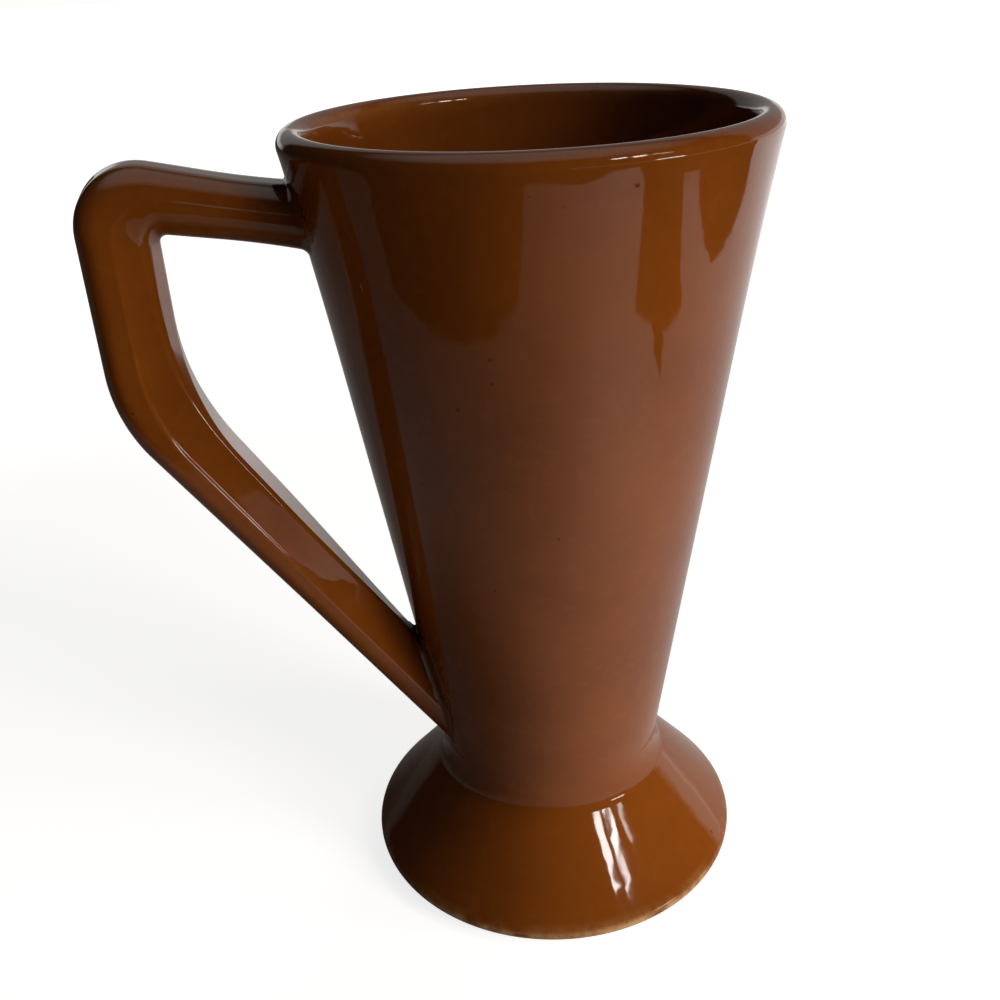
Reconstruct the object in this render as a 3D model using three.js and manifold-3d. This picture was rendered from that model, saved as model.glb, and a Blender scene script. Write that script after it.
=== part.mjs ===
import * as THREE from 'three';
import { mergeVertices } from 'three/addons/utils/BufferGeometryUtils.js';
import Module from 'manifold-3d';

// A footed mug of brown glazed stoneware. The cup, the flared foot and the handle are made apart and
// stuck together with slip. Millimetres, Z up, the handle towards -X.

// Cup
const height = 146; // table to the crest of the rim
const rimRadius = 40.3; // widest outside radius, at the lip
const lipFlare = 0.6; // how far the lip turns out from the straight cone
const flareDepth = 38; // how far below the crest the lip starts to turn out
const wallThickness = 4.8; // the wall, which ends in a full round at the lip
const floorThickness = 6;
const floorCorner = 9; // round between the inside wall and the floor

// Foot
const waistHeight = 22; // table to the middle of the joint under the cup
const waistRadius = 21.1; // outside radius of cup and foot at that joint
const footRadius = 37.8; // outside radius at the foot's edge, before that edge is rounded
const footEdge = 1.6; // round at that edge
const footEdgeHeight = 3.3; // table to that edge
const footBevel = 3.6; // how far the ring the mug stands on lies in from that edge
const footRing = 3.4; // width of that ring
const footRingEdge = 1.2; // round at the ring's two edges
const footDeck = 6.5; // clay between the hollow underneath and the joint
const footCorner = 6; // round at the top of the hollow underneath

// Handle, measured from the mug's axis in the plane of the handle
const handleReach = 71.6; // axis to the outside of the grip
const handleDepth = 13; // size across the plane of the handle
const handleEdge = 3.6; // round along the handle's edges
const upperArm = 8; // thickness of the arm at the top, where it meets the wall
const upperDrop = 12.1; // crest of the rim down to the middle of that arm at the wall
const upperRise = 0.26; // slope of that arm's top, up and away from the wall
const underRise = 0.185; // slope of that arm's underside
const gripThickness = 11.8; // thickness of the upright grip
const gripCorner = 9.6; // outside round between the upper arm and the grip
const gripInnerCorner = 3.6; // inside round between the upper arm and the grip
const bendDrop = 41.5; // crest of the rim down to the bend under the grip
const bendRound = 27; // outside round of that bend
const bendInnerRound = 44; // inside round of that bend
const lowerArm = 11.4; // thickness, at the bend, of the arm that runs down to the cup
const lowerArmTip = 8.7; // thickness of that arm where it meets the wall
const lowerTip = 7.8; // joint under the cup up to where that arm's underside meets the wall

// Slip joints
const seam = 1.4; // space between the handle's ends and the wall, filled with slip
const handleFillet = 3.6; // how far the slip spreads round the handle's ends in a square corner
const footSeam = 0.8; // slip between the cup and the foot
const footFillet = 3.4; // how far the slip climbs up the cup and down the foot
const jointGap = 0.3; // clearance between a slip joint and the piece it lies on
const slipHollow = 0.7; // how deep the slip's hollow round is drawn into its corner

// Facets
const turns = 72; // round the axis
const cornerSteps = 5; // in a rounded edge
const bendSteps = 8; // in a bend of the handle, the lip's round and the cup's floor corner

const lipRound = wallThickness / 2;
const lipHeight = height - lipRound;
const flareStart = height - flareDepth;
const coneSlope = (rimRadius - lipFlare - waistRadius) / (lipHeight - waistHeight);
const footSlope = (footRadius - waistRadius) / (waistHeight - footEdgeHeight);
const cupBottom = waistHeight + footSeam / 2;
const footTop = waistHeight - footSeam / 2;
const floorHeight = cupBottom + floorThickness;

const wasm = await Module();
wasm.setup();

function wallRadius(z) {
  const turn = Math.max(0, (z - flareStart) / (lipHeight - flareStart));
  return waistRadius + coneSlope * (z - waistHeight) + lipFlare * turn * turn;
}

function footConeRadius(z) {
  return waistRadius + footSlope * (waistHeight - z);
}

function point(r, z) {
  return new THREE.Vector2(r, z);
}

function spread(from, to, count) {
  return Array.from({ length: count + 1 }, (_, step) => from + (to - from) * step / count);
}

// Points on the arc that rounds off a corner between two straight legs.
function rounded(before, corner, after, radius, count) {
  const toBefore = before.clone().sub(corner).normalize();
  const toAfter = after.clone().sub(corner).normalize();
  const half = Math.acos(toBefore.dot(toAfter)) / 2;
  const centre = toBefore.clone().add(toAfter).normalize().multiplyScalar(radius / Math.sin(half)).add(corner);
  const angleOf = (leg) => leg.multiplyScalar(radius / Math.tan(half)).add(corner).sub(centre).angle();
  const first = angleOf(toBefore);
  const last = angleOf(toAfter);
  const swing = Math.atan2(Math.sin(last - first), Math.cos(last - first));
  return spread(first, first + swing, count).map((angle) => (
    point(radius * Math.cos(angle), radius * Math.sin(angle)).add(centre)));
}

function turned(profile) {
  return new THREE.LatheGeometry(profile, turns).rotateX(Math.PI / 2);
}

function middleOf(places) {
  return places.reduce((sum, place) => sum.add(place), new THREE.Vector3()).divideScalar(places.length);
}

// A closed skin over a row of rings with equally many points, closed at both ends.
function skin(rings) {
  const count = rings[0].length;
  const places = rings.flat().flatMap((p) => [p.x, p.y, p.z]);
  const faces = [];
  for (let row = 0; row + 1 < rings.length; row += 1) {
    for (let i = 0; i < count; i += 1) {
      const a = row * count + i;
      const b = row * count + (i + 1) % count;
      faces.push(a, b, b + count, a, b + count, a + count);
    }
  }
  for (const end of [0, rings.length - 1]) {
    const middle = middleOf(rings[end]);
    const hub = places.length / 3;
    places.push(middle.x, middle.y, middle.z);
    for (let i = 0; i < count; i += 1) {
      const a = end * count + i;
      const b = end * count + (i + 1) % count;
      faces.push(...(end === 0 ? [hub, b, a] : [hub, a, b]));
    }
  }
  const geometry = new THREE.BufferGeometry();
  geometry.setAttribute('position', new THREE.Float32BufferAttribute(places, 3));
  geometry.setIndex(faces);
  return geometry;
}

function solidOf(geometry) {
  const bare = geometry.clone();
  bare.deleteAttribute('normal');
  bare.deleteAttribute('uv');
  const joined = mergeVertices(bare);
  const corners = joined.index.array;
  const kept = [];
  for (let i = 0; i < corners.length; i += 3) {
    const [a, b, c] = corners.slice(i, i + 3);
    if (a !== b && b !== c && c !== a) kept.push(a, b, c);
  }
  return new wasm.Manifold(new wasm.Mesh({
    numProp: 3,
    vertProperties: joined.attributes.position.array,
    triVerts: new Uint32Array(kept),
  }));
}

function geometryOf(solid) {
  const mesh = solid.getMesh();
  const geometry = new THREE.BufferGeometry();
  geometry.setAttribute('position', new THREE.BufferAttribute(mesh.vertProperties, 3));
  geometry.setIndex(new THREE.BufferAttribute(mesh.triVerts, 1));
  geometry.computeVertexNormals();
  return geometry;
}

function cupGeometry() {
  const inner = (z) => point(wallRadius(z) - wallThickness, z);
  const flare = spread(flareStart, lipHeight, cornerSteps);
  const lip = spread(0, Math.PI, bendSteps).slice(1, -1).map((angle) => (
    point(rimRadius - lipRound + lipRound * Math.cos(angle), lipHeight + lipRound * Math.sin(angle))));
  return turned([
    point(0, cupBottom),
    point(wallRadius(cupBottom), cupBottom),
    ...flare.map((z) => point(wallRadius(z), z)),
    ...lip,
    ...flare.toReversed().map(inner),
    ...rounded(inner(flareStart), inner(floorHeight), point(0, floorHeight), floorCorner, bendSteps),
    point(0, floorHeight),
  ]);
}

function footGeometry() {
  const edge = point(footRadius, footEdgeHeight);
  const shoulder = point(footConeRadius(footTop), footTop);
  const ringOutside = point(footRadius - footBevel, 0);
  const ringInside = point(footRadius - footBevel - footRing, 0);
  const ceiling = footTop - footDeck;
  const hollow = point(ringInside.x - ceiling * footSlope, ceiling);
  return turned([
    point(0, ceiling),
    ...rounded(point(0, ceiling), hollow, ringInside, footCorner, cornerSteps),
    ...rounded(hollow, ringInside, ringOutside, footRingEdge, cornerSteps),
    ...rounded(ringInside, ringOutside, edge, footRingEdge, cornerSteps),
    ...rounded(ringOutside, edge, shoulder, footEdge, cornerSteps),
    shoulder,
    point(0, footTop),
  ]);
}

// The slip under the cup, squeezed out into a hollow round between the cup and the foot.
function footJointGeometry() {
  const onCup = (z) => point(wallRadius(z) + jointGap, z);
  const onFoot = (z) => point(footConeRadius(z) + jointGap, z);
  const hollow = new THREE.QuadraticBezierCurve(
    onFoot(waistHeight - footFillet), onCup(waistHeight), onCup(waistHeight + footFillet));
  return turned([
    point(0, footTop),
    onFoot(footTop),
    ...hollow.getPoints(cornerSteps),
    onCup(cupBottom),
    point(0, cupBottom),
  ]);
}

// Everything inside the cup's outside, grown by a clearance and carried on past the rim.
function cupFilled(clearance) {
  const top = height + flareDepth;
  return solidOf(turned([
    point(0, 0),
    point(wallRadius(0) + clearance, 0),
    ...spread(flareStart, top, 2 * cornerSteps).map((z) => point(wallRadius(z) + clearance, z)),
    point(0, top),
  ]));
}

// Pairs of points on the handle's two edges in its own plane, from inside the cup and back into it.
function handleEdges() {
  const rootHeight = height - upperDrop;
  const rootRadius = wallRadius(rootHeight);
  const top = (r) => point(r, rootHeight + upperArm / 2 + upperRise * (r - rootRadius));
  const under = (r) => point(r, rootHeight - upperArm / 2 + underRise * (r - rootRadius));
  const gripInside = handleReach - gripThickness;
  const bend = point(handleReach, height - bendDrop);
  const tip = point(wallRadius(waistHeight + lowerTip), waistHeight + lowerTip);
  const down = tip.clone().sub(bend).normalize();
  const inward = point(down.y, -down.x);
  const end = tip.clone().addScaledVector(down, lowerArm);
  const endInside = end.clone().addScaledVector(inward, lowerArmTip);
  const bendInside = bend.clone().addScaledVector(inward, lowerArm);
  const back = bendInside.clone().sub(endInside);
  bendInside.addScaledVector(back, (gripInside - bendInside.x) / back.x);
  const edge = (arm, grip, low, last, cornerRound, lowRound) => [
    arm(rootRadius - wallThickness),
    ...rounded(arm(rootRadius), arm(grip), low, cornerRound, bendSteps),
    ...rounded(arm(grip), low, last, lowRound, bendSteps),
    last,
  ];
  const outside = edge(top, handleReach, bend, end, gripCorner, bendRound);
  const inside = edge(under, gripInside, bendInside, endInside, gripInnerCorner, bendInnerRound);
  return outside.map((place, i) => [place, inside[i]]);
}

// One ring round the handle, grown by a clearance, with the way each of its points faces.
function handleRing([outside, inside], grow) {
  const across = outside.clone().sub(inside);
  const edge = Math.min(handleEdge, across.length() / 2, handleDepth / 2);
  const flatWidth = across.length() / 2 - edge;
  const flatDepth = handleDepth / 2 - edge;
  const middle = outside.clone().add(inside).divideScalar(2);
  across.normalize();
  const places = [];
  const faces = [];
  for (let corner = 0; corner < 4; corner += 1) {
    const widthSign = corner === 0 || corner === 3 ? 1 : -1;
    const depthSign = corner < 2 ? 1 : -1;
    for (const angle of spread(corner * Math.PI / 2, (corner + 1) * Math.PI / 2, cornerSteps)) {
      const width = widthSign * flatWidth + (edge + grow) * Math.cos(angle);
      const depth = depthSign * flatDepth + (edge + grow) * Math.sin(angle);
      places.push(new THREE.Vector3(-middle.x - across.x * width, depth, middle.y + across.y * width));
      faces.push(new THREE.Vector3(-across.x * Math.cos(angle), Math.sin(angle), across.y * Math.cos(angle)));
    }
  }
  return { places, faces };
}

function handleGeometry() {
  const rings = handleEdges().map((edges) => handleRing(edges, 0).places);
  return geometryOf(solidOf(skin(rings)).subtract(cupFilled(seam)));
}

// Where a straight line out of the cup meets the wall, grown by a clearance.
function meetWall(start, along, clearance) {
  let near = 0;
  let far = handleReach;
  for (let round = 0; round < 40; round += 1) {
    const half = (near + far) / 2;
    const probe = start.clone().addScaledVector(along, half);
    if (Math.hypot(probe.x, probe.y) < wallRadius(probe.z) + clearance) near = half;
    else far = half;
  }
  return start.clone().addScaledVector(along, near);
}

function wallFaceAt(place) {
  const slope = (wallRadius(place.z + jointGap) - wallRadius(place.z - jointGap)) / (2 * jointGap);
  return new THREE.Vector3(place.x, place.y, -slope * Math.hypot(place.x, place.y)).normalize();
}

// The slip between one end of the handle and the wall: a film under the end, and a hollow round that
// climbs from the wall onto the handle all the way round it.
function handleJointGeometry(atTop) {
  const edges = handleEdges();
  const [end, next] = atTop ? [edges[0], edges[1]] : [edges.at(-1), edges.at(-2)];
  const root = handleRing(end, jointGap);
  const beyond = handleRing(next, jointGap);
  const film = seam - jointGap;
  const hub = middleOf(root.places);
  const columns = root.places.map((start, i) => {
    const along = beyond.places[i].clone().sub(start).normalize();
    const filmAt = (share) => meetWall(hub.clone().lerp(start, share), along, film);
    const low = meetWall(start, along, jointGap);
    const high = filmAt(1);
    const wallFace = wallFaceAt(low);
    const side = root.faces[i].clone().addScaledVector(along, -root.faces[i].dot(along)).normalize();
    const seamLine = wallFace.clone().cross(side).normalize();
    const away = seamLine.clone().cross(wallFace);
    away.multiplyScalar(Math.sign(away.dot(side)));
    const climb = Math.abs(seamLine.clone().cross(side).dot(along));
    const opening = Math.PI - wallFace.angleTo(side);
    const reach = handleFillet * THREE.MathUtils.clamp(1 / Math.tan(opening / 2), 0.5, 2);
    const onWall = low.clone().addScaledVector(away, reach);
    const pull = wallRadius(onWall.z) / Math.hypot(onWall.x, onWall.y);
    onWall.set(onWall.x * pull, onWall.y * pull, onWall.z);
    const onHandle = high.clone().addScaledVector(along, reach / Math.max(slipHollow, climb));
    const hollow = new THREE.CubicBezierCurve3(
      onWall, onWall.clone().lerp(low, slipHollow), onHandle.clone().lerp(high, slipHollow), onHandle);
    const sunk = onWall.clone().addScaledVector(wallFace, -wallThickness / 2);
    return [sunk, ...hollow.getPoints(cornerSteps), high, filmAt(2 / 3), filmAt(1 / 3)];
  });
  const rings = columns[0].map((_, row) => columns.map((column) => column[row]));
  if (!atTop) rings.reverse();
  return geometryOf(solidOf(skin(rings)).subtract(cupFilled(jointGap)));
}

const glaze = new THREE.MeshStandardMaterial({ color: 0x6a300e, roughness: 0.16, metalness: 0 });
const slip = new THREE.MeshStandardMaterial({ color: 0x4a200a, roughness: 0.22, metalness: 0 });

// The group shifts the mug so that the middle of its box, handle included, stands on the origin.
const mug = new THREE.Group();
mug.position.x = (handleReach - rimRadius) / 2;

function addPiece(name, geometry, material) {
  const piece = new THREE.Mesh(geometry, material);
  piece.name = name;
  mug.add(piece);
}

addPiece('cup_body', cupGeometry(), glaze);
addPiece('pedestal_foot', footGeometry(), glaze);
addPiece('foot_joint', footJointGeometry(), slip);
addPiece('handle', handleGeometry(), glaze);
addPiece('handle_upper_joint', handleJointGeometry(true), slip);
addPiece('handle_lower_joint', handleJointGeometry(false), slip);

const part = new THREE.Group();
part.name = 'footed_mug';
part.add(mug);

export default part;
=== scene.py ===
import math

import bmesh
import bpy
from mathutils import Matrix, Vector


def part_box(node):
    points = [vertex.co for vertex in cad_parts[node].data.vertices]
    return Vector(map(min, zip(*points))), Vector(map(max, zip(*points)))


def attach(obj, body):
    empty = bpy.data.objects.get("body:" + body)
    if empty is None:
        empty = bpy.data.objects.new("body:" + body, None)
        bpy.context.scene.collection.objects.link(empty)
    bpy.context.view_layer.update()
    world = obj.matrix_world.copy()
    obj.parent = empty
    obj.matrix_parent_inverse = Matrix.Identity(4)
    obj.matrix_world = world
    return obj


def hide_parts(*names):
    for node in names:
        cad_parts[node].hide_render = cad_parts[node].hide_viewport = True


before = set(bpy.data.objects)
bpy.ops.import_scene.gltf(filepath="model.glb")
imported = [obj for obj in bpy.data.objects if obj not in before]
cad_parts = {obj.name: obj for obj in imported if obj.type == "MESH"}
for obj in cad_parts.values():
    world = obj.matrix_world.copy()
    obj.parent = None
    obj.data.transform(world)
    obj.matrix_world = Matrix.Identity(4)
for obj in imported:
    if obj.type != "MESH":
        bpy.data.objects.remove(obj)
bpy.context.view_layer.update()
mm = 0.001

scene = bpy.context.scene
scene.view_settings.view_transform = "Standard"

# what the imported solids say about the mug's main sizes
cupLow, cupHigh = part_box("cup_body")
footLow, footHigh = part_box("pedestal_foot")
handleLow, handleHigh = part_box("handle")
axisX = (cupLow.x + cupHigh.x) / 2  # the mug's own axis stands here
height = cupHigh.z
rimRadius = (cupHigh.x - cupLow.x) / 2
cupBottom = cupLow.z
footTop = footHigh.z
waistHeight = (cupBottom + footTop) / 2
handleReach = axisX - handleLow.x
handleDepth = handleHigh.y - handleLow.y
print("frame loaded: mug", round(height / mm, 1), "mm high, rim", round(2 * rimRadius / mm, 1), "mm across")


# camera, set where the photo was taken from
shot = {
    "fromAxis": (-51.0 * mm, -178.0 * mm, 169.4 * mm),
    "heading": 13.55,   # degrees from +Y towards +X
    "tilt": -26.55,     # degrees above the horizon
    "roll": -3.13,
    "lens": 39.68,
    "sensor": 36.0,
    "clip": (0.01, 50.0),
}


def makeCamera():
    camera = bpy.data.objects.new("camera", bpy.data.cameras.new("camera"))
    scene.collection.objects.link(camera)
    camera.data.lens = shot["lens"]
    camera.data.sensor_width = shot["sensor"]
    camera.data.clip_start, camera.data.clip_end = shot["clip"]
    turn = Matrix.Rotation(math.radians(-shot["heading"]), 4, "Z")
    turn = turn @ Matrix.Rotation(math.radians(90 + shot["tilt"]), 4, "X")
    turn = turn @ Matrix.Rotation(math.radians(shot["roll"]), 4, "Z")
    camera.matrix_world = Matrix.Translation(Vector((axisX, 0, 0)) + Vector(shot["fromAxis"])) @ turn
    scene.camera = camera


makeCamera()
print("camera placed")


# small helpers for outlines and meshes
tiny = 0.001 * mm


def spread(first, last, count):
    return [first + (last - first) * i / count for i in range(count + 1)]


def flat(r, z):
    return Vector((r, z))


def roundCorner(before, corner, after, radius, count):
    # an arc that touches both sides of the corner
    toBefore = (before - corner).normalized()
    toAfter = (after - corner).normalized()
    half = toBefore.angle(toAfter) / 2
    centre = corner + (toBefore + toAfter).normalized() * (radius / math.sin(half))
    start = corner + toBefore * (radius / math.tan(half)) - centre
    end = corner + toAfter * (radius / math.tan(half)) - centre
    first = math.atan2(start.y, start.x)
    swing = math.atan2(start.x * end.y - start.y * end.x, start.dot(end))
    return [centre + radius * flat(math.cos(a), math.sin(a)) for a in spread(first, first + swing, count)]


def bezier(a, b, c, d, count):
    points = []
    for t in spread(0, 1, count):
        s = 1 - t
        points.append(a * s ** 3 + b * (3 * s * s * t) + c * (3 * s * t * t) + d * t ** 3)
    return points


def refine(points, longest):
    # splits the long straight stretches so that smooth shading stays true
    finer = [points[0]]
    for here, there in zip(points, points[1:]):
        pieces = max(1, math.ceil((there - here).length / longest))
        finer += [here.lerp(there, i / pieces) for i in range(1, pieces + 1)]
    return finer


def turnRows(outline, turns):
    # an outline of radius and height, turned round the mug's axis
    rows = []
    for place in outline:
        if place.x < tiny:
            rows.append([Vector((axisX, 0, place.y))])
            continue
        angles = spread(0, 2 * math.pi, turns)[:-1]
        ring = [Vector((axisX + place.x * math.cos(a), place.x * math.sin(a), place.y)) for a in angles]
        rows.append(ring)
    return rows


def gridPiece(name, rows, loop=False, fold=None):
    work = bmesh.new()
    made = [[work.verts.new(p) for p in row] for row in rows]
    pairs = list(zip(made, made[1:]))
    if loop:
        pairs.append((made[-1], made[0]))
    for here, there in pairs:
        for i in range(max(len(here), len(there))):
            j = i + 1
            ring = [here[i % len(here)], here[j % len(here)], there[j % len(there)], there[i % len(there)]]
            work.faces.new(list(dict.fromkeys(ring)))  # a row of one point gives triangles
    bmesh.ops.recalc_face_normals(work, faces=work.faces)
    mesh = bpy.data.meshes.new(name)
    work.to_mesh(mesh)
    work.free()
    mesh.shade_smooth()
    if fold is not None:
        mesh.set_sharp_from_angle(angle=math.radians(fold))
    piece = bpy.data.objects.new(name, mesh)
    scene.collection.objects.link(piece)
    return piece


def mark(piece, name, rule):
    # a number at each point, which the glaze reads
    layer = piece.data.attributes.new(name, "FLOAT", "POINT")
    layer.data.foreach_set("value", [rule(v.co) for v in piece.data.vertices])


def dress(piece, node, slot, *materials):
    for material in materials:
        piece.data.materials.append(material)
    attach(piece, "root")
    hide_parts(node)
    print("made", piece.name, len(piece.data.polygons), "faces")


def ease(value, first, last):
    # 0 up to the first, 1 from the last on
    t = min(1.0, max(0.0, (value - first) / (last - first)))
    return t * t * (3 - 2 * t)


def near(value, middle, width):
    # 1 at the middle, falling to 0 at that width
    return 1 - ease(abs(value - middle), 0, width)


def fromAxis(co):
    return math.hypot(co.x - axisX, co.y)


# where the glaze runs together and darkens: in the waist, and at the handle's two roots, where the
# darkening is partly pooled glaze and partly painted shade from the cup
poolsAndShade = {
    "waist": 0.15,
    "waistReach": 4 * mm,
    # at the roots strong and wide enough to paint in the cup's shade as well
    "root": 0.65,
    "rootReach": 10 * mm,
}


def waistPool(co):
    return poolsAndShade["waist"] * near(co.z, waistHeight, poolsAndShade["waistReach"])


# pooled glaze and painted shade round the handle's roots
def rootPoolAndShade(co):
    return poolsAndShade["root"] * near(fromAxis(co) - wallRadius(co.z), 0, poolsAndShade["rootReach"])


def nowhere(co):
    return 0.0


# materials
def addNode(tree, kind, **inputs):
    made = tree.nodes.new(kind)
    for name, value in inputs.items():
        made.inputs[name.replace("_", " ")].default_value = value
    return made


def newMaterial(name):
    material = bpy.data.materials.new(name)
    material.use_nodes = True
    tree = material.node_tree
    shader = tree.nodes["Principled BSDF"]
    place = tree.nodes.new("ShaderNodeTexCoord").outputs["Object"]
    return material, tree, shader, place


def noiseAt(tree, place, scale, detail=2.0, roughness=0.5):
    made = addNode(tree, "ShaderNodeTexNoise", Scale=scale, Detail=detail, Roughness=roughness)
    tree.links.new(place, made.inputs["Vector"])
    return made.outputs["Fac"]


def mapTo(tree, value, fromLow, fromHigh, toLow, toHigh):
    made = tree.nodes.new("ShaderNodeMapRange")
    for i, number in enumerate((fromLow, fromHigh, toLow, toHigh)):
        made.inputs[i + 1].default_value = number
    tree.links.new(value, made.inputs["Value"])
    return made.outputs["Result"]


def mathOf(tree, operation, a, b):
    made = tree.nodes.new("ShaderNodeMath")
    made.operation = operation
    for socket, value in zip(made.inputs, (a, b)):
        if isinstance(value, (int, float)):
            socket.default_value = value
        else:
            tree.links.new(value, socket)
    return made.outputs["Value"]


def mixColour(tree, share, a, b):
    made = tree.nodes.new("ShaderNodeMix")
    made.data_type = "RGBA"
    sockets = [s for s in made.inputs if s.type == "RGBA"]
    tree.links.new(share, made.inputs["Factor"])
    for socket, value in zip(sockets, (a, b)):
        if isinstance(value, tuple):
            socket.default_value = (*value, 1)
        else:
            tree.links.new(value, socket)
    return next(s for s in made.outputs if s.type == "RGBA")


def attributeOf(tree, name):
    made = tree.nodes.new("ShaderNodeAttribute")
    made.attribute_name = name
    return made.outputs["Fac"]


def bumpOn(tree, height, depth, under=None):
    made = addNode(tree, "ShaderNodeBump", Strength=1.0, Distance=depth)
    tree.links.new(height, made.inputs["Height"])
    if under is not None:
        tree.links.new(under, made.inputs["Normal"])
    return made.outputs["Normal"]


glazeLook = {
    "deep": (0.120, 0.0275, 0.0026),     # where the glaze lies thick
    "body": (0.205, 0.0505, 0.0050),
    "bright": (0.245, 0.0680, 0.0085),   # faint clouds
    "poolAndShade": (0.070, 0.0140, 0.0016),     # run together in the joints, and painted shade at the handle's roots
    "thin": (0.48, 0.28, 0.11),          # broken over sharp edges
    "thinRough": 0.15,                   # and so much duller there
    "speck": (0.035, 0.010, 0.002),
    "speckShare": 0.6,
    # patterns: turns a metre, detail and roughness, and which part of each pattern turns into what
    "clouds": (26.0, 4.0, 0.55),
    "cloudRange": (0.34, 0.62, 0.35, 1),
    "cloudPool": (0.3, 0.6, 0.75, 1),
    "mottle": (520.0, 3.0, 0.6),
    "mottleRange": (0.5, 0.8, 0, 0.35),
    "breaks": (170.0, 4.0, 0.65),
    "breakRange": (0.38, 0.60, 0, 1),
    "gloss": (90.0, 3.0),
    "glossRange": (0.3, 0.7, 0.035, 0.075),
    "specks": 210.0,
    "speckEdge": (0.03, 0.09, 1, 0),
    "speckPick": (0.86, 0.9, 0, 1),
    # relief, from the broadest to the finest
    "waves": (30.0, 1.0),
    "waveDepth": 0.12 * mm,
    "ripples": (210.0, 1.0),
    "rippleDepth": 0.03 * mm,
    "runs": (150.0, 1.5),
    "runLength": 0.12,                   # how much the runs are drawn out up and down
    "runDepth": 0.04 * mm,
    "peel": (640.0, 2.0),
    "peelDepth": 0.0016 * mm,
    "speckDepth": 0.05 * mm,
    "ior": 1.52,
}


def makeGlaze():
    look = glazeLook
    material, tree, shader, place = newMaterial("brownGlaze")
    clouds = noiseAt(tree, place, *look["clouds"])
    mottle = noiseAt(tree, place, *look["mottle"])
    colour = mixColour(tree, mapTo(tree, clouds, *look["cloudRange"]), look["deep"], look["body"])
    colour = mixColour(tree, mapTo(tree, mottle, *look["mottleRange"]), colour, look["bright"])
    # darker where the glaze pools, and painted shade at the handle's roots
    poolAndShade = mathOf(tree, "MULTIPLY", attributeOf(tree, "poolAndShade"), mapTo(tree, clouds, *look["cloudPool"]))
    colour = mixColour(tree, poolAndShade, colour, look["poolAndShade"])
    broken = mapTo(tree, noiseAt(tree, place, *look["breaks"]), *look["breakRange"])
    thin = mathOf(tree, "MULTIPLY", attributeOf(tree, "thin"), broken)
    colour = mixColour(tree, thin, colour, look["thin"])
    cells = addNode(tree, "ShaderNodeTexVoronoi", Scale=look["specks"])
    tree.links.new(place, cells.inputs["Vector"])
    dot = mapTo(tree, cells.outputs["Distance"], *look["speckEdge"])
    picked = tree.nodes.new("ShaderNodeSeparateColor")
    tree.links.new(cells.outputs["Color"], picked.inputs["Color"])
    pits = mathOf(tree, "MULTIPLY", dot, mapTo(tree, picked.outputs["Red"], *look["speckPick"]))
    colour = mixColour(tree, mathOf(tree, "MULTIPLY", pits, look["speckShare"]), colour, look["speck"])
    tree.links.new(colour, shader.inputs["Base Color"])
    rough = mapTo(tree, noiseAt(tree, place, *look["gloss"]), *look["glossRange"])
    duller = mathOf(tree, "MULTIPLY", thin, look["thinRough"])
    tree.links.new(mathOf(tree, "ADD", rough, duller), shader.inputs["Roughness"])
    waves = bumpOn(tree, noiseAt(tree, place, *look["waves"]), look["waveDepth"])
    ripples = bumpOn(tree, noiseAt(tree, place, *look["ripples"]), look["rippleDepth"], waves)
    drawn = addNode(tree, "ShaderNodeMapping", Scale=(1, 1, look["runLength"]))
    tree.links.new(place, drawn.inputs["Vector"])
    runs = bumpOn(tree, noiseAt(tree, drawn.outputs["Vector"], *look["runs"]), look["runDepth"], ripples)
    peel = bumpOn(tree, noiseAt(tree, place, *look["peel"]), look["peelDepth"], runs)
    dents = bumpOn(tree, mathOf(tree, "MULTIPLY", pits, -1.0), look["speckDepth"], peel)
    tree.links.new(dents, shader.inputs["Normal"])
    shader.inputs["IOR"].default_value = look["ior"]
    return material


clayLook = {
    "light": (0.62, 0.44, 0.28),
    "dark": (0.42, 0.27, 0.15),
    "grog": (0.20, 0.11, 0.06),
    "grain": (1500.0, 4.0, 0.7),   # patterns, as in the glaze
    "grainDepth": 0.05 * mm,
    "grogRange": (0.6, 0.75, 0, 0.6),
    "roughRange": (0.3, 0.7, 0.7, 0.95),
    "blotches": (120.0, 3.0),
    "blotchRange": (0.35, 0.65, 0, 1),
}


def makeClay():
    look = clayLook
    material, tree, shader, place = newMaterial("bareClay")
    grain = noiseAt(tree, place, *look["grain"])
    blotches = noiseAt(tree, place, *look["blotches"])
    colour = mixColour(tree, mapTo(tree, blotches, *look["blotchRange"]), look["dark"], look["light"])
    colour = mixColour(tree, mapTo(tree, grain, *look["grogRange"]), colour, look["grog"])
    tree.links.new(colour, shader.inputs["Base Color"])
    tree.links.new(mapTo(tree, grain, *look["roughRange"]), shader.inputs["Roughness"])
    tree.links.new(bumpOn(tree, grain, look["grainDepth"]), shader.inputs["Normal"])
    return material


glaze = makeGlaze()
clay = makeClay()
print("materials made")


# cup: a straight cone that turns out a little at a rounded lip
cup = {
    "wall": 4.8 * mm,
    "lipFlare": 0.6 * mm,
    "flareDepth": 38 * mm,
    "waistRadius": 21.1 * mm,
    "waistFlare": 0.35 * mm,
    "waistFlareHeight": 10 * mm,
    "floor": 6 * mm,
    "floorCorner": 9 * mm,
    "lipThin": 0.2,             # how thin the glaze is over the lip's inner crest, and how far round it
    "lipThinAcross": 1.1 * mm,
    "lipThinDown": 3.2 * mm,
    "turns": 224,
    "rowLength": 2.6 * mm,
    "lipSteps": 24,
    "flareSteps": 16,
    "waistSteps": 12,
    "floorSteps": 16,
}
lipRound = cup["wall"] / 2
lipHeight = height - lipRound
flareStart = height - cup["flareDepth"]
coneSlope = (rimRadius - cup["lipFlare"] - cup["waistRadius"]) / (lipHeight - waistHeight)


def wallRadius(z):
    turn = max(0.0, (z - flareStart) / (lipHeight - flareStart))
    low = max(0.0, 1 - (z - waistHeight) / cup["waistFlareHeight"])
    flare = cup["lipFlare"] * turn ** 2 + cup["waistFlare"] * min(1, low) ** 2
    return cup["waistRadius"] + coneSlope * (z - waistHeight) + flare


def innerAt(z):
    return flat(wallRadius(z) - cup["wall"], z)


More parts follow.
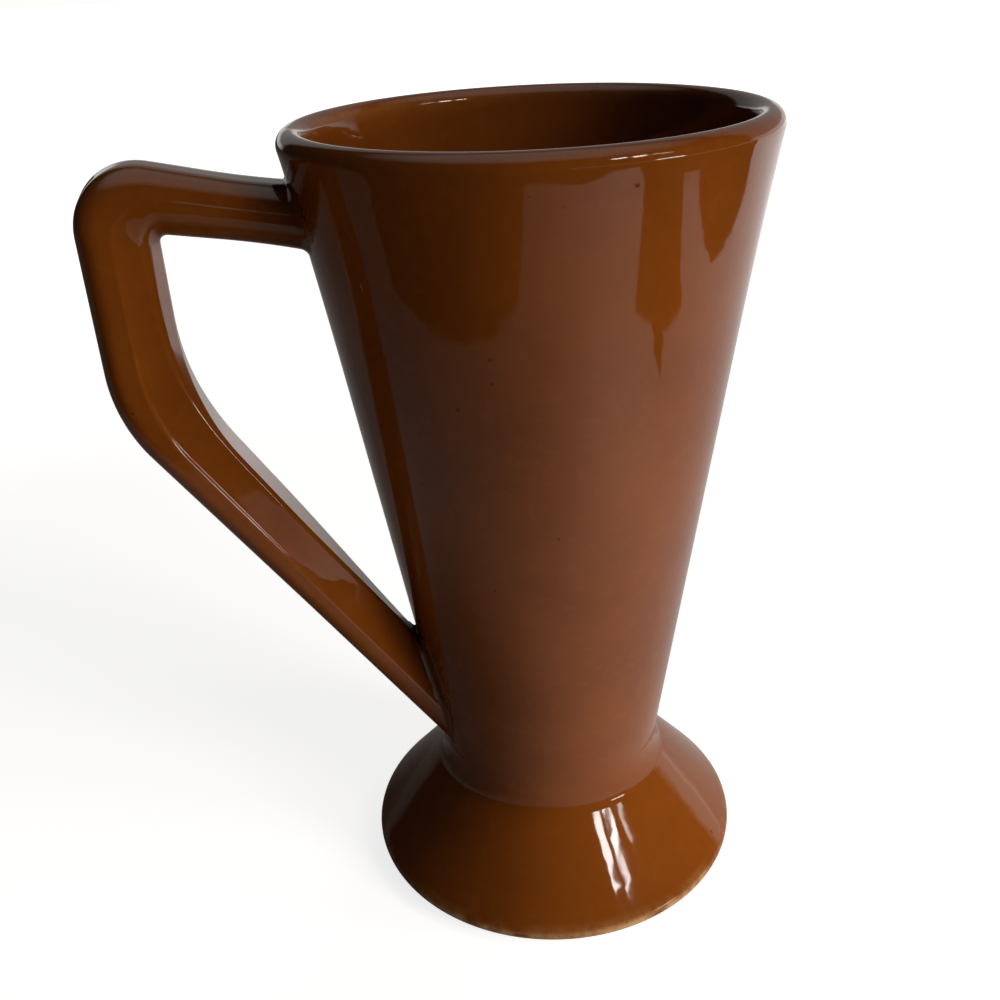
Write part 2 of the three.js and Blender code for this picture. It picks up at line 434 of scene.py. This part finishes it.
def makeCup():
    floorHeight = cupBottom + cup["floor"]
    flare = spread(flareStart, lipHeight, cup["flareSteps"])
    lean = math.atan(coneSlope + 2 * cup["lipFlare"] / cup["flareDepth"])  # the wall's slope at the lip
    lip = [
        flat(rimRadius - lipRound + lipRound * math.cos(a), lipHeight + lipRound * math.sin(a))
        for a in spread(-lean, math.pi - lean, cup["lipSteps"])
    ]
    rising = spread(cupBottom, waistHeight + cup["waistFlareHeight"], cup["waistSteps"])
    floorMiddle = flat(0, floorHeight)
    outline = [flat(0, cupBottom)]
    outline += [flat(wallRadius(z), z) for z in rising + flare[:-1]] + lip
    outline += [innerAt(z) for z in reversed(flare[:-1])]
    wallEnd = innerAt(floorHeight)
    outline += roundCorner(innerAt(flareStart), wallEnd, floorMiddle, cup["floorCorner"], cup["floorSteps"])
    outline.append(floorMiddle)
    piece = gridPiece("cup", turnRows(refine(outline, cup["rowLength"]), cup["turns"]))

    def lipThin(co):
        across = near(fromAxis(co), rimRadius - cup["wall"], cup["lipThinAcross"])
        return cup["lipThin"] * across * near(co.z, height, cup["lipThinDown"])

    mark(piece, "thin", lipThin)
    mark(piece, "poolAndShade", waistPool)
    dress(piece, "cup_body", "glaze", glaze)


makeCup()


# foot: a flared hollow cone with a bevelled edge, standing on a ring of bare clay
foot = {
    "radius": 37.8 * mm,
    "edge": 1.6 * mm,
    "edgeHeight": 3.3 * mm,
    "bevel": 3.6 * mm,
    "ring": 3.4 * mm,
    "ringEdge": 1.2 * mm,
    "deck": 6.5 * mm,
    "corner": 6 * mm,
    "glazeLine": 0.35 * mm,  # the glaze is wiped off below this height
    "thinHeight": 3.1 * mm,  # and is thin round this one
    "thinReach": 1.9 * mm,
    "turns": 224,
    "rowLength": 1.6 * mm,
    "hollowSteps": 12,
    "ringSteps": 8,
    "edgeSteps": 14,
}
footSlope = (foot["radius"] - wallRadius(waistHeight)) / (waistHeight - foot["edgeHeight"])


def footRadiusAt(z):
    return wallRadius(waistHeight) + footSlope * (waistHeight - z)


def makeFoot():
    edge = flat(foot["radius"], foot["edgeHeight"])
    shoulder = flat(footRadiusAt(footTop), footTop)
    ringOutside = flat(foot["radius"] - foot["bevel"], 0)
    ringInside = flat(ringOutside.x - foot["ring"], 0)
    ceiling = footTop - foot["deck"]
    hollow = flat(ringInside.x - ceiling * footSlope, ceiling)
    outline = [flat(0, ceiling)]
    outline += roundCorner(flat(0, ceiling), hollow, ringInside, foot["corner"], foot["hollowSteps"])
    outline += roundCorner(hollow, ringInside, ringOutside, foot["ringEdge"], foot["ringSteps"])
    outline += roundCorner(ringInside, ringOutside, edge, foot["ringEdge"], foot["ringSteps"])
    outline += roundCorner(ringOutside, edge, shoulder, foot["edge"], foot["edgeSteps"])
    outline += [shoulder, flat(0, footTop)]
    piece = gridPiece("foot", turnRows(refine(outline, foot["rowLength"]), foot["turns"]))

    def edgeThin(co):
        outside = fromAxis(co) > ringInside.x
        return near(co.z, foot["thinHeight"], foot["thinReach"]) if outside else 0.0

    mark(piece, "thin", edgeThin)
    mark(piece, "poolAndShade", waistPool)
    dress(piece, "pedestal_foot", "glaze", glaze, clay)
    for face in piece.data.polygons:
        face.material_index = int(face.center.z < foot["glazeLine"])


makeFoot()


# the edges of a slip run on a little and then turn in under the glaze of the piece below
tuckStep = 0.03 * mm
tuckDepth = 0.25 * mm


def tuck(edge, onward, inward):
    return [edge + onward * tuckStep, edge + onward * (2 * tuckStep) + inward * tuckDepth]


# slip under the cup: a hollow round from the foot onto the cup
waist = {
    "upCup": 4.6 * mm,    # how far it runs up the cup and down the foot
    "downFoot": 2.2 * mm,
    "hollow": 0.56,       # how deep the round is drawn into its corner
    "lift": 0.005 * mm,
    "inside": 2.5 * mm,
    "turns": 224,
    "steps": 20,
    "fold": 40.0,         # degrees, from which an edge is sharp
}


def makeWaist():
    low = waistHeight - waist["downFoot"]
    high = waistHeight + waist["upCup"]
    corner = flat(wallRadius(waistHeight), waistHeight)
    onFoot = flat(footRadiusAt(low), low)
    onCup = flat(wallRadius(high), high)
    fromFoot = onFoot.lerp(corner, waist["hollow"])
    toCup = onCup.lerp(corner, waist["hollow"])
    hollow = bezier(onFoot, fromFoot, toCup, onCup, waist["steps"])
    hollow = [place + flat(waist["lift"], 0) for place in hollow]
    downFoot = (onFoot - corner).normalized()
    upCup = (onCup - corner).normalized()
    inward = flat(-1, 0)
    outline = tuck(hollow[0], downFoot, inward)[::-1] + hollow + tuck(hollow[-1], upCup, inward)
    outline += [outline[-1] + inward * waist["inside"], outline[0] + inward * waist["inside"]]
    piece = gridPiece("waist_slip", turnRows(outline, waist["turns"]), loop=True, fold=waist["fold"])
    mark(piece, "thin", nowhere)
    mark(piece, "poolAndShade", waistPool)
    dress(piece, "foot_joint", "slip", glaze)


makeWaist()


# handle: one strap with rounded edges, from the rim out, down and back to the foot of the cup
handle = {
    "outerRound": 3.6 * mm,
    "topRound": 4.6 * mm,     # the same on the upper arm
    "ridge": 0.9 * mm,        # each face has a ridge, so far outside its middle
    "ridgeRound": 1.2 * mm,
    "outerFall": 0.3 * mm,    # the face falls back from it to the outer edge
    "step": 0.6 * mm,         # inside the ridge is a small step, steeper than the face
    "stepSlope": 0.03,
    "lowStepSlope": 0.57,     # and steeper still on the lower arm
    "stepRound": 0.8 * mm,
    # the inner edge's cut: how far across it goes, how far the face has fallen where it starts
    # and where it ends, and its round
    "underCut": (3.6 * mm, 0.1 * mm, 3.4 * mm, 4.0 * mm),  # on the upper arm
    "gripCut": (2.0 * mm, 1.3 * mm, 6.0 * mm, 2.2 * mm),
    "lowCut": (0.5 * mm, 1.0 * mm, 2.2 * mm, 0.5 * mm),
    "tipCut": (0.5 * mm, 3.9 * mm, 4.6 * mm, 0.8 * mm),
    "lowSpan": (26 * mm, 48 * mm),  # below the rim, where one cut turns into the next
    "tipSpan": (60 * mm, 92 * mm),
    "fullWidth": 11 * mm,     # a narrower arm has smaller corners
    "rootFlare": 0.7 * mm,    # the upper arm thickens towards the wall
    "flareReach": 13 * mm,
    "upperArm": 8 * mm,
    "upperDrop": 12.1 * mm,
    "underDrop": 0.7 * mm,    # the arm hangs a little lower on its under side
    "upperRise": 0.26,
    "underRise": 0.185,
    "grip": 12.0 * mm,
    "gripCorner": 9.6 * mm,
    "gripInnerCorner": 1.3 * mm,
    "bendDrop": 41.5 * mm,
    "bendRound": 27 * mm,
    "bendInnerRound": 44 * mm,
    "lowerArm": 11.4 * mm,
    "lowerArmTip": 8.7 * mm,
    "lowerTip": 7.8 * mm,
    "intoWall": 2.2 * mm,
    "cornerSteps": 10,
    "flatSteps": 5,
    "ringLength": 2.2 * mm,
    "rootRings": 9,
    "cornerRings": 22,
    "bendRings": 20,
}


def handleEdges():
    rootHeight = height - handle["upperDrop"]
    rootRadius = wallRadius(rootHeight)
    half = handle["upperArm"] / 2
    underHeight = rootHeight - half - handle["underDrop"]

    def flare(r):
        return handle["rootFlare"] * max(0.0, 1 - (r - rootRadius) / handle["flareReach"]) ** 2

    def top(r):
        return flat(r, rootHeight + half + handle["upperRise"] * (r - rootRadius) + flare(r))

    def under(r):
        return flat(r, underHeight + handle["underRise"] * (r - rootRadius) - flare(r))

    gripInside = handleReach - handle["grip"]
    bend = flat(handleReach, height - handle["bendDrop"])
    tipHeight = waistHeight + handle["lowerTip"]
    tip = flat(wallRadius(tipHeight), tipHeight)
    down = (tip - bend).normalized()
    inward = flat(down.y, -down.x)
    end = tip + down * handle["intoWall"]
    endInside = end + inward * handle["lowerArmTip"]
    bendInside = bend + inward * handle["lowerArm"]
    back = bendInside - endInside
    bendInside = bendInside + back * ((gripInside - bendInside.x) / back.x)

    def edge(arm, grip, low, last, cornerRound, lowRound):
        flareEnd = rootRadius + handle["flareReach"]
        points = [arm(r) for r in spread(rootRadius - handle["intoWall"], flareEnd, handle["rootRings"])]
        points += roundCorner(arm(flareEnd), arm(grip), low, cornerRound, handle["cornerRings"])
        points += roundCorner(arm(grip), low, last, lowRound, handle["bendRings"])
        return points + [last]

    outerRounds = (handle["gripCorner"], handle["bendRound"])
    innerRounds = (handle["gripInnerCorner"], handle["bendInnerRound"])
    outside = edge(top, handleReach, bend, end, *outerRounds)
    inside = edge(under, gripInside, bendInside, endInside, *innerRounds)
    return list(zip(outside, inside))


def handleCorners(width, below, lying):
    # the section's corners, each with its round, so far below the rim; lying is 1 on a level arm
    depth = handleDepth / 2
    fit = min(1, 2 * width / handle["fullWidth"])
    low = ease(below, *handle["lowSpan"])
    tip = ease(below, *handle["tipSpan"])
    cuts = zip(handle["gripCut"], handle["lowCut"], handle["tipCut"], handle["underCut"])
    cut = [a + (b - a) * low + (c - b) * tip + (d - a) * lying for a, b, c, d in cuts]
    cutAcross, cutFall, cutEnd, cutRound = cut
    outerRound = handle["outerRound"] + (handle["topRound"] - handle["outerRound"]) * lying
    ridge = fit * handle["ridge"]
    step = fit * handle["step"]
    slope = cutFall / (width + ridge - fit * cutAcross)
    slope += handle["stepSlope"] + handle["lowStepSlope"] * (low - tip)
    nearSide = [
        (flat(width, depth - handle["outerFall"]), fit * outerRound),
        (flat(ridge, depth), fit * handle["ridgeRound"]),
        (flat(ridge - step, depth - step * slope), fit * handle["stepRound"]),
        (flat(fit * cutAcross - width, depth - cutFall), fit * cutRound),
        (flat(-width, depth - cutEnd), fit * cutRound),
    ]
    return nearSide + [(flat(corner.x, -corner.y), radius) for corner, radius in reversed(nearSide)]


def handleRing(outside, inside):
    # points round the strap, and the way each one faces
    across = outside - inside
    width = across.length / 2
    middle = (outside + inside) / 2
    across.normalize()
    corners = handleCorners(width, height - middle.y, max(0.0, across.y) ** 2)
    section = []
    for i, (corner, radius) in enumerate(corners):
        after = corners[(i + 1) % len(corners)][0]
        section.append(roundCorner(corners[i - 1][0], corner, after, radius, handle["cornerSteps"]))
    loop = []
    for here, there in zip(section, section[1:] + section[:1]):
        loop += here
        loop += [here[-1].lerp(there[0], k / handle["flatSteps"]) for k in range(1, handle["flatSteps"])]
    places = []
    faces = []
    for i, place in enumerate(loop):
        run = loop[(i + 1) % len(loop)] - loop[i - 1]
        facing = flat(run.y, -run.x).normalized()
        x = axisX - middle.x - across.x * place.x
        places.append(Vector((x, place.y, middle.y + across.y * place.x)))
        faces.append(Vector((-across.x * facing.x, facing.y, across.y * facing.x)))
    return places, faces


def makeHandle():
    edges = handleEdges()
    finer = [edges[0]]
    for (outHere, inHere), (outThere, inThere) in zip(edges, edges[1:]):
        pieces = max(1, math.ceil((outThere - outHere).length / handle["ringLength"]))
        for i in range(1, pieces + 1):
            finer.append((outHere.lerp(outThere, i / pieces), inHere.lerp(inThere, i / pieces)))
    rows = [handleRing(*pair)[0] for pair in finer]
    firstMiddle = sum(rows[0], Vector()) / len(rows[0])
    lastMiddle = sum(rows[-1], Vector()) / len(rows[-1])
    piece = gridPiece("handle_strap", [[firstMiddle]] + rows + [[lastMiddle]])
    mark(piece, "thin", nowhere)
    # pooled glaze and painted shade at both roots
    mark(piece, "poolAndShade", rootPoolAndShade)
    dress(piece, "handle", "glaze", glaze)


makeHandle()


# slip at the handle's two ends: a hollow round from the wall onto the strap, all the way round it
ends = {
    "reach": 2.2 * mm,
    "upward": 0.8,        # how much less it reaches on its upper side
    "hollow": 0.6,
    "leastSpread": 0.6,   # it is wider in a narrow corner, between these
    "mostSpread": 1.4,
    "leastClimb": 0.7,
    "inside": 1.4 * mm,
    "steps": 14,
    "fold": 50.0,         # degrees, from which an edge is sharp
    "halvings": 50,
}


def meetWall(start, along):
    # where a line that starts inside the wall comes out of it
    least, most = 0.0, handleReach
    for _ in range(ends["halvings"]):
        half = (least + most) / 2
        probe = start + along * half
        if fromAxis(probe) < wallRadius(probe.z):
            least = half
        else:
            most = half
    return start + along * least


def ontoWall(place, sink):
    pull = (wallRadius(place.z) - sink) / fromAxis(place)
    return Vector((axisX + (place.x - axisX) * pull, place.y * pull, place.z))


def wallFacing(place):
    step = 0.1 * mm
    slope = (wallRadius(place.z + step) - wallRadius(place.z - step)) / (2 * step)
    return Vector((place.x - axisX, place.y, -slope * fromAxis(place))).normalized()


def makeEnd(name, node, atTop):
    edges = handleEdges()
    end, inner = (edges[0], edges[1]) if atTop else (edges[-1], edges[-2])
    root, faces = handleRing(*end)
    beyond, _ = handleRing(*inner)
    columns = []
    for start, facing, far in zip(root, faces, beyond):
        along = (far - start).normalized()
        corner = meetWall(start, along)
        outward = wallFacing(corner)
        side = (facing - along * facing.dot(along)).normalized()
        seamLine = outward.cross(side).normalized()
        away = seamLine.cross(outward)
        if away.dot(side) < 0:
            away.negate()
        climb = abs(seamLine.cross(side).dot(along))
        opening = math.pi - outward.angle(side)
        spreadOut = min(ends["mostSpread"], max(ends["leastSpread"], 1 / math.tan(opening / 2)))
        reach = ends["reach"] * spreadOut * (1 - ends["upward"] * max(0, away.z))
        up = along / max(ends["leastClimb"], climb)
        onWall = ontoWall(corner + away * reach, 0)
        onStrap = corner + up * reach
        toWall = onWall.lerp(corner, ends["hollow"])
        toStrap = onStrap.lerp(corner, ends["hollow"])
        hollow = bezier(onWall, toWall, toStrap, onStrap, ends["steps"])
        column = tuck(onWall, away, -outward)[::-1] + hollow + tuck(onStrap, along, -side)
        column.append(column[-1] - side * ends["inside"])
        column.append(ontoWall(corner, ends["inside"]))
        column.append(ontoWall(column[0], ends["inside"]))
        columns.append(column)
    rows = [list(row) for row in zip(*columns)]
    piece = gridPiece(name, rows, loop=True, fold=ends["fold"])
    mark(piece, "thin", nowhere)
    # pooled glaze and painted shade at the root
    mark(piece, "poolAndShade", rootPoolAndShade)
    dress(piece, node, "slip", glaze)


makeEnd("upper_slip", "handle_upper_joint", True)
makeEnd("lower_slip", "handle_lower_joint", False)


# stage: a pale floor before a white backdrop, soft lamps and a window to the right of the camera
floorLook = {
    "size": 14.0,
    "colour": (0.66, 0.65, 0.63),
    "seenNear": 0.80,     # light of its own for the camera, under the mug and far away
    "seenFar": 1.0,
    "nearRadius": 0.22,
    "farRadius": 0.70,
    # in reflections only, painted shade and painted light on the floor, as from, to and how bright at each
    "mirrorLeft": (-0.25, -0.03, 0.4, 1.0),    # painted shade: dimmer on the left
    "mirrorRight": (-0.03, 0.12, 0.0, 0.30),   # painted light: with light of its own on the right
    "mirrorFar": (0.22, 0.55, 0.0, 0.50),      # and far away
    "mirrorFarSide": (-0.06, 0.02, 0.0, 1.0),  # on this side
    "shadeAt": (-0.045, 0.0, 0.0),             # painted shadow: dim again in the handle's shade
    "shade": (0.03, 0.08, 0.25, 1.0),
}


def makeFloor():
    look = floorLook
    bpy.ops.mesh.primitive_plane_add(size=look["size"])
    floor = bpy.context.object
    floor.name = "floor"
    material = bpy.data.materials.new("paleFloor")
    material.use_nodes = True
    tree = material.node_tree
    tree.nodes.clear()
    out = tree.nodes.new("ShaderNodeOutputMaterial")
    matt = tree.nodes.new("ShaderNodeBsdfDiffuse")
    white = addNode(tree, "ShaderNodeEmission", Color=(1, 1, 1, 1))
    rays = tree.nodes.new("ShaderNodeLightPath")
    mirror = rays.outputs["Is Glossy Ray"]
    place = tree.nodes.new("ShaderNodeTexCoord").outputs["Object"]
    distance = tree.nodes.new("ShaderNodeVectorMath")
    distance.operation = "LENGTH"
    tree.links.new(place, distance.inputs[0])
    far = distance.outputs["Value"]
    split = tree.nodes.new("ShaderNodeSeparateXYZ")
    tree.links.new(place, split.inputs["Vector"])
    across = split.outputs["X"]
    fromShade = tree.nodes.new("ShaderNodeVectorMath")
    fromShade.operation = "DISTANCE"
    fromShade.inputs[1].default_value = look["shadeAt"]
    tree.links.new(place, fromShade.inputs[0])
    shade = mapTo(tree, fromShade.outputs["Value"], *look["shade"])
    # in reflections only, painted shade: the floor's colour dims on the left and under the handle
    bright = mathOf(tree, "MULTIPLY", shade, mapTo(tree, across, *look["mirrorLeft"]))
    dim = mathOf(tree, "MULTIPLY", mirror, mathOf(tree, "SUBTRACT", 1, bright))
    tree.links.new(mixColour(tree, dim, look["colour"], (0, 0, 0)), matt.inputs["Color"])
    seen = mapTo(tree, far, look["nearRadius"], look["farRadius"], look["seenNear"], look["seenFar"])
    seen = mathOf(tree, "MULTIPLY", seen, rays.outputs["Is Camera Ray"])
    # in reflections only, painted light: the floor glows on the right, and far away on that side
    right = mapTo(tree, across, *look["mirrorRight"])
    farSide = mapTo(tree, across, *look["mirrorFarSide"])
    farRight = mathOf(tree, "MULTIPLY", mapTo(tree, far, *look["mirrorFar"]), farSide)
    mirrored = mathOf(tree, "MULTIPLY", mathOf(tree, "ADD", right, farRight), mirror)
    tree.links.new(mathOf(tree, "ADD", seen, mirrored), white.inputs["Strength"])
    both = tree.nodes.new("ShaderNodeAddShader")
    tree.links.new(matt.outputs["BSDF"], both.inputs[0])
    tree.links.new(white.outputs["Emission"], both.inputs[1])
    tree.links.new(both.outputs["Shader"], out.inputs["Surface"])
    floor.data.materials.append(material)


# painted dark reflection: a black card that only reflections see, shaped as the table's front edges as the
# glaze mirrors them; past these the room is dark
darkReflectionCard = {
    "corners": [
        (-3000, 600), (-235, -10), (-175, -85), (-125, -140), (-72, -192), (-65, -262), (60, -266),
        (120, -290), (178, -290), (168, -225), (138, -182), (165, -158), (167, -112), (182, -135),
        (224, -110), (236, -142), (262, -185), (300, -155), (288, -110), (296, -55), (345, 8),
        (400, 50), (3000, 400), (3000, -3000), (-3000, -3000),
    ],  # mm
    "lift": 0.2 * mm,
    "colour": (0.02, 0.017, 0.015),
}


def makeDarkReflectionCard():
    mesh = bpy.data.meshes.new("darkReflectionCard")
    corners = [(x * mm, y * mm, darkReflectionCard["lift"]) for x, y in darkReflectionCard["corners"]]
    mesh.from_pydata(corners, [], [range(len(corners))])
    card = bpy.data.objects.new("darkReflectionCard", mesh)
    scene.collection.objects.link(card)
    material, _, shader, _ = newMaterial("paintedDarkRoomReflection")
    shader.inputs["Base Color"].default_value = (*darkReflectionCard["colour"], 1)
    shader.inputs["Roughness"].default_value = 1.0
    shader.inputs["Specular IOR Level"].default_value = 0.0
    mesh.materials.append(material)
    # seen only in reflections, where it paints the dark room; it gives no light and no shadow
    card.visible_camera = False
    card.visible_diffuse = False
    card.visible_shadow = False
    card.visible_transmission = False


backdrop = {
    "middle": 148.0,      # degrees right of -Y
    "halfWidth": 56.0,
    "edge": 5.0,
    "band": 7.0,          # degrees above the horizon
    "bandFade": 0.7,      # it starts to fade at this share of its height
    "top": 50.0,
    "topFade": 0.8,
    "glow": 0.8,
    "highGlow": 0.28,     # above the band
    "room": 0.012,
    "ceiling": (45.0, 65.0),  # overhead, from and to these degrees above the horizon
    "ceilingGlow": 0.6,   # in reflections
    "ceilingLight": 0.08,  # and as light
    "colour": (1.0, 0.985, 0.96, 1),
}


def makeWorld():
    world = bpy.data.worlds.new("studio")
    scene.world = world
    world.use_nodes = True
    tree = world.node_tree
    background = tree.nodes["Background"]
    rays = tree.nodes.new("ShaderNodeLightPath")
    direction = tree.nodes.new("ShaderNodeTexCoord").outputs["Generated"]
    towards = tree.nodes.new("ShaderNodeVectorMath")
    towards.operation = "DOT_PRODUCT"
    middle = math.radians(backdrop["middle"])
    towards.inputs[1].default_value = (math.sin(middle), -math.cos(middle), 0)
    tree.links.new(direction, towards.inputs[0])
    split = tree.nodes.new("ShaderNodeSeparateXYZ")
    tree.links.new(direction, split.inputs["Vector"])
    side = math.cos(math.radians(backdrop["halfWidth"]))
    sideEdge = math.cos(math.radians(backdrop["halfWidth"] - backdrop["edge"]))
    band = math.sin(math.radians(backdrop["band"]))
    top = math.sin(math.radians(backdrop["top"]))
    across = mapTo(tree, towards.outputs["Value"], side, sideEdge, 0, 1)
    rising = split.outputs["Z"]
    upTo = mapTo(tree, rising, band * backdrop["bandFade"], band, backdrop["glow"], backdrop["highGlow"])
    upTo = mathOf(tree, "MULTIPLY", upTo, mapTo(tree, rising, top * backdrop["topFade"], top, 1, 0))
    glow = mathOf(tree, "MAXIMUM", mathOf(tree, "MULTIPLY", across, upTo), backdrop["room"])
    fromZ, toZ = [math.sin(math.radians(a)) for a in backdrop["ceiling"]]
    mirror = rays.outputs["Is Glossy Ray"]
    overhead = mapTo(tree, mirror, 0, 1, backdrop["ceilingLight"], backdrop["ceilingGlow"])
    overhead = mathOf(tree, "MULTIPLY", overhead, mapTo(tree, rising, fromZ, toZ, 0, 1))
    glow = mathOf(tree, "MAXIMUM", glow, overhead)
    strength = mathOf(tree, "MAXIMUM", glow, rays.outputs["Is Camera Ray"])
    tree.links.new(strength, background.inputs["Strength"])
    background.inputs["Color"].default_value = backdrop["colour"]


# lamps: degrees right of -Y and above the floor, width and height in degrees, and brightness;
# one that isn't mirrored only gives light
lampColour = (1.0, 0.975, 0.94)
lampDistance = 2.4
lampSpread = 180.0  # degrees
lamps = {
    "keyHigh": {"turn": 50, "rise": 40, "wide": 12, "tall": 12, "glow": 8, "mirrored": False},
    "keyLow": {"turn": 62, "rise": 5, "wide": 12, "tall": 8, "glow": 50, "mirrored": False},
    "keyMiddle": {"turn": 42, "rise": 18, "wide": 12, "tall": 12, "glow": 12, "mirrored": False},
    "front": {
        "turn": 30, "rise": 13, "wide": 26, "tall": 16, "glow": 11, "mirrored": False,
        "far": 0.25, "spread": 70,  # close by, in a narrow beam
    },
    "back": {"turn": 143, "rise": 9, "wide": 34, "tall": 14, "glow": 7, "mirrored": False},
    "lowWindow": {"turn": 45, "rise": 4.4, "wide": 14, "tall": 2.4, "glow": 20},
    "paneLeft": {"turn": 25.2, "rise": 34.2, "wide": 6.2, "tall": 4.3, "glow": 21},
    "paneTop": {"turn": 35.2, "rise": 35.0, "wide": 7.6, "tall": 2.2, "glow": 26},
    "paneMiddle": {"turn": 34.8, "rise": 31.9, "wide": 7.2, "tall": 1.5, "glow": 26},
    "paneLow": {"turn": 32.5, "rise": 30.4, "wide": 5.6, "tall": 0.8, "glow": 20},
    "paneRight": {"turn": 45.5, "rise": 33.2, "wide": 8.0, "tall": 2.0, "glow": 7},
    "paneRightLow": {"turn": 47.5, "rise": 29.6, "wide": 7.0, "tall": 1.5, "glow": 9},
}


def makeLamps():
    aim = Vector((axisX, 0, 0))
    for name, setting in lamps.items():
        turn = math.radians(setting["turn"])
        rise = math.radians(setting["rise"])
        away = Vector((math.sin(turn) * math.cos(rise), -math.cos(turn) * math.cos(rise), math.sin(rise)))
        far = setting.get("far", lampDistance)
        light = bpy.data.lights.new(name, "AREA")
        light.shape = "RECTANGLE"
        light.size = 2 * far * math.tan(math.radians(setting["wide"] * math.cos(rise) / 2))
        light.size_y = 2 * far * math.tan(math.radians(setting["tall"] / 2))
        light.spread = math.radians(setting.get("spread", lampSpread))
        share = 1 - light.spread / 2 / math.tan(light.spread / 2)  # a narrow beam is brighter in the middle
        light.energy = setting["glow"] * math.pi * light.size * light.size_y * share
        light.color = lampColour
        lamp = bpy.data.objects.new(name, light)
        scene.collection.objects.link(lamp)
        lamp.location = aim + away * far
        lamp.rotation_euler = away.to_track_quat("Z", "Y").to_euler()
        lamp.visible_camera = False
        lamp.visible_glossy = setting.get("mirrored", True)


makeFloor()
makeDarkReflectionCard()
makeWorld()
makeLamps()
print("stage set")
